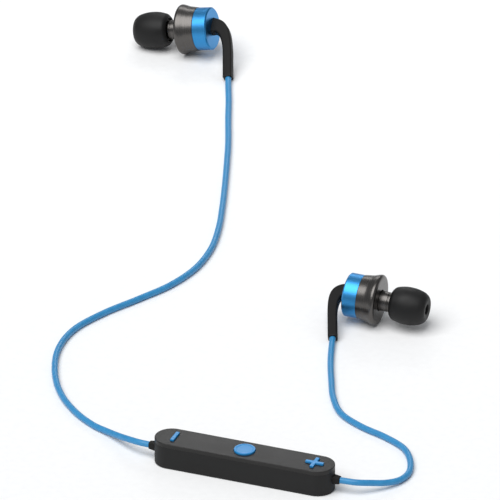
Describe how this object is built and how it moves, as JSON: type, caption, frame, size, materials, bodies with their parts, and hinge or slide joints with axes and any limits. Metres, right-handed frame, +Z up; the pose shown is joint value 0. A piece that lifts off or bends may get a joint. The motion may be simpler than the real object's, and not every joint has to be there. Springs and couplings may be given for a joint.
{
  "type": "corded wireless in-ear earphones",
  "caption": "In-ear earphones with flared metal housings and silicone tips, joined by a thin round cord that runs through a bar-shaped button remote.",
  "frame": {"origin": "middle of the remote's flat base, on the surface that the whole set lies on", "axes": "+Z up, out of the remote's keys; +X along the remote towards its plus key; +Y across the remote, towards the two earphones"},
  "size_m": [0.1894, 0.2754, 0.0168],
  "materials": {
    "shell_plastic": "soft-touch moulded black plastic",
    "key_plastic": "satin moulded sky-blue plastic",
    "cord_sheath": "smooth satin sky-blue elastomer",
    "blue_metal": "turned and anodised blue",
    "dark_metal": "turned and brushed gunmetal",
    "black_rubber": "matt moulded rubber",
    "silicone": "fine matt silicone",
    "plated_steel": "tin-plated sheet",
    "mesh_steel": "woven wire mesh",
    "driver_film": "thin amber film",
    "board": "solder-masked green laminate",
    "battery_foil": "laminated pouch foil"
  },
  "bodies": {
    "remote": {"bottom_shell": "shell_plastic", "top_cover": "shell_plastic", "case_seal": "silicone", "circuit_board": "board", "battery_cell": "battery_foil", "radio_module": "plated_steel", "microphone": "plated_steel", "minus_switch": "plated_steel", "play_switch": "plated_steel", "plus_switch": "plated_steel", "charge_socket": "plated_steel", "strain_relief_left": "black_rubber", "strain_relief_right": "black_rubber", "left_cable": "cord_sheath", "left_stem": "black_rubber", "left_rear_cap": "blue_metal", "left_seal_ring": "silicone", "left_driver_magnet": "plated_steel", "left_driver_basket": "shell_plastic", "left_driver_diaphragm": "driver_film", "left_front_housing": "dark_metal", "left_nozzle": "dark_metal", "left_nozzle_filter": "mesh_steel", "right_cable": "cord_sheath", "right_stem": "black_rubber", "right_rear_cap": "blue_metal", "right_seal_ring": "silicone", "right_driver_magnet": "plated_steel", "right_driver_basket": "shell_plastic", "right_driver_diaphragm": "driver_film", "right_front_housing": "dark_metal", "right_nozzle": "dark_metal", "right_nozzle_filter": "mesh_steel"},
    "minus_key": {"minus_button": "key_plastic"},
    "play_key": {"play_button": "key_plastic"},
    "plus_key": {"plus_button": "key_plastic"},
    "port_cover": {"charge_port_cover": "black_rubber"},
    "left_tip": {"left_ear_tip": "silicone"},
    "right_tip": {"right_ear_tip": "silicone"}
  },
  "joints": [
    {"name": "minus_press", "type": "slide", "parent": "remote", "child": "minus_key", "axis": [0, 0, -1], "range_m": [0, 0.0003], "stiffness_N_per_m": 800},
    {"name": "play_press", "type": "slide", "parent": "remote", "child": "play_key", "axis": [0, 0, -1], "range_m": [0, 0.0003], "stiffness_N_per_m": 800},
    {"name": "plus_press", "type": "slide", "parent": "remote", "child": "plus_key", "axis": [0, 0, -1], "range_m": [0, 0.0003], "stiffness_N_per_m": 800},
    {"name": "port_cover_hinge", "type": "hinge", "parent": "remote", "child": "port_cover", "pos_m": [0.01085, 0.0055, 0.0029], "axis": [0, 0, 1], "range_deg": [0, 105]},
    {"name": "left_tip_pull", "type": "slide", "parent": "remote", "child": "left_tip", "axis": [-0.9803, -0.0514, -0.1908], "range_m": [0, 0.008]},
    {"name": "right_tip_pull", "type": "slide", "parent": "remote", "child": "right_tip", "axis": [0.9988, 0.0349, -0.0349], "range_m": [0, 0.008]}
  ]
}
